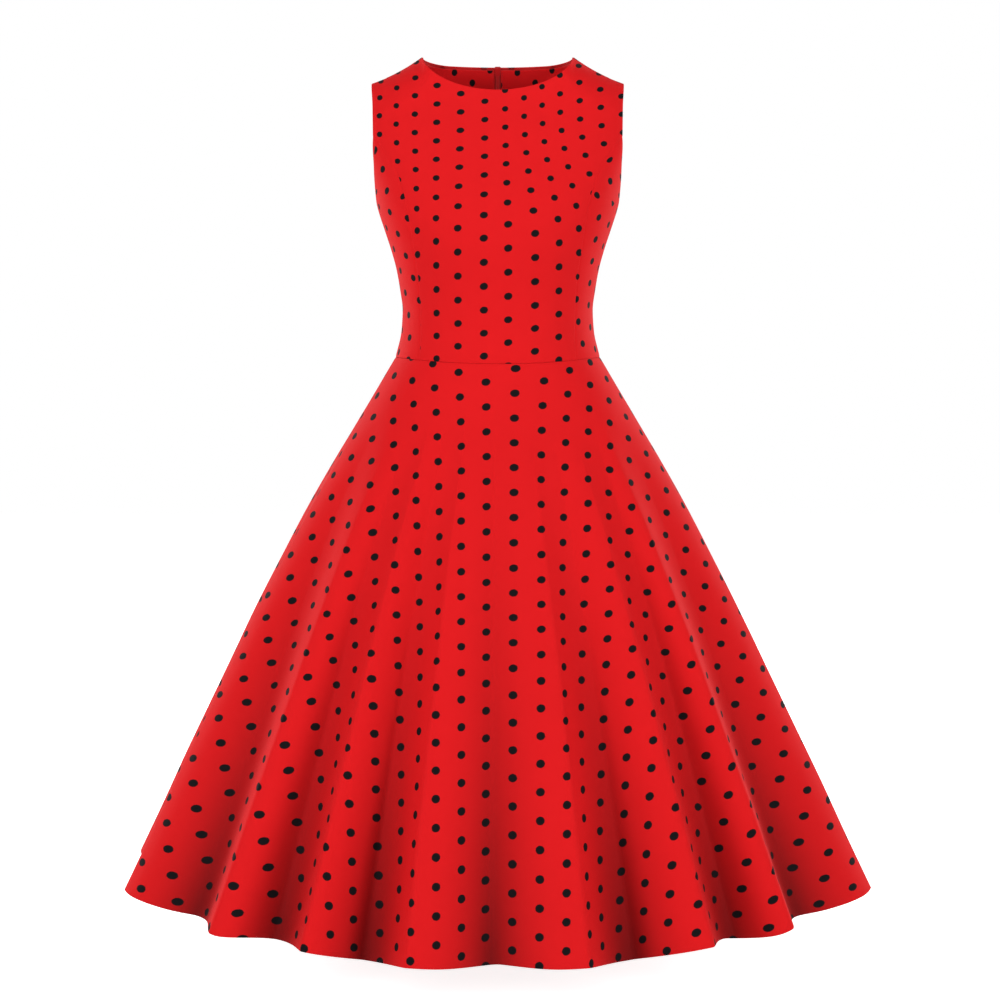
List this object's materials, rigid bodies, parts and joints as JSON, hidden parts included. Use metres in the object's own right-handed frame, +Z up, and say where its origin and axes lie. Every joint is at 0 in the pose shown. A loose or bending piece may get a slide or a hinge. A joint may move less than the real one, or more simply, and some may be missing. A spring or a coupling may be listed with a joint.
{
  "type": "a-line dress",
  "caption": "Sleeveless fitted dress with a full flared skirt in soft folds, hollow as if worn, with a working pull tab on its back zip.",
  "frame": {"origin": "between the wearer's shoulders, level with the points where the shoulder seams meet the neck edge", "axes": "+Z up, the dress faces -Y, +X is the wearer's left"},
  "size_m": [0.9056, 0.7004, 1.0435],
  "materials": {
    "dress_cloth": "smooth matte woven cloth, red with small black dots",
    "zip_tape": "woven tape, red",
    "zip_coil": "nylon coil, red",
    "zip_metal": "red lacquer, satin"
  },
  "bodies": {
    "dress": {"bodice_front_centre": "dress_cloth", "bodice_front_side_left": "dress_cloth", "bodice_front_side_right": "dress_cloth", "bodice_back_left": "dress_cloth", "bodice_back_right": "dress_cloth", "bodice_back_side_left": "dress_cloth", "bodice_back_side_right": "dress_cloth", "back_neck_facing_left": "dress_cloth", "back_neck_facing_right": "dress_cloth", "skirt_front": "dress_cloth", "skirt_back_left": "dress_cloth", "skirt_back_right": "dress_cloth", "zip_tape_left": "zip_tape", "zip_tape_right": "zip_tape", "zip_coil": "zip_coil", "zip_stop": "zip_metal", "zip_slider": "zip_metal"},
    "zip_pull": {"zip_pull": "zip_metal"}
  },
  "joints": [
    {"name": "zip_pull_hinge", "type": "hinge", "parent": "dress", "child": "zip_pull", "pos_m": [0, 0.06298, -0.00593], "axis": [1, 0, 0], "range_deg": [0, 150]}
  ]
}
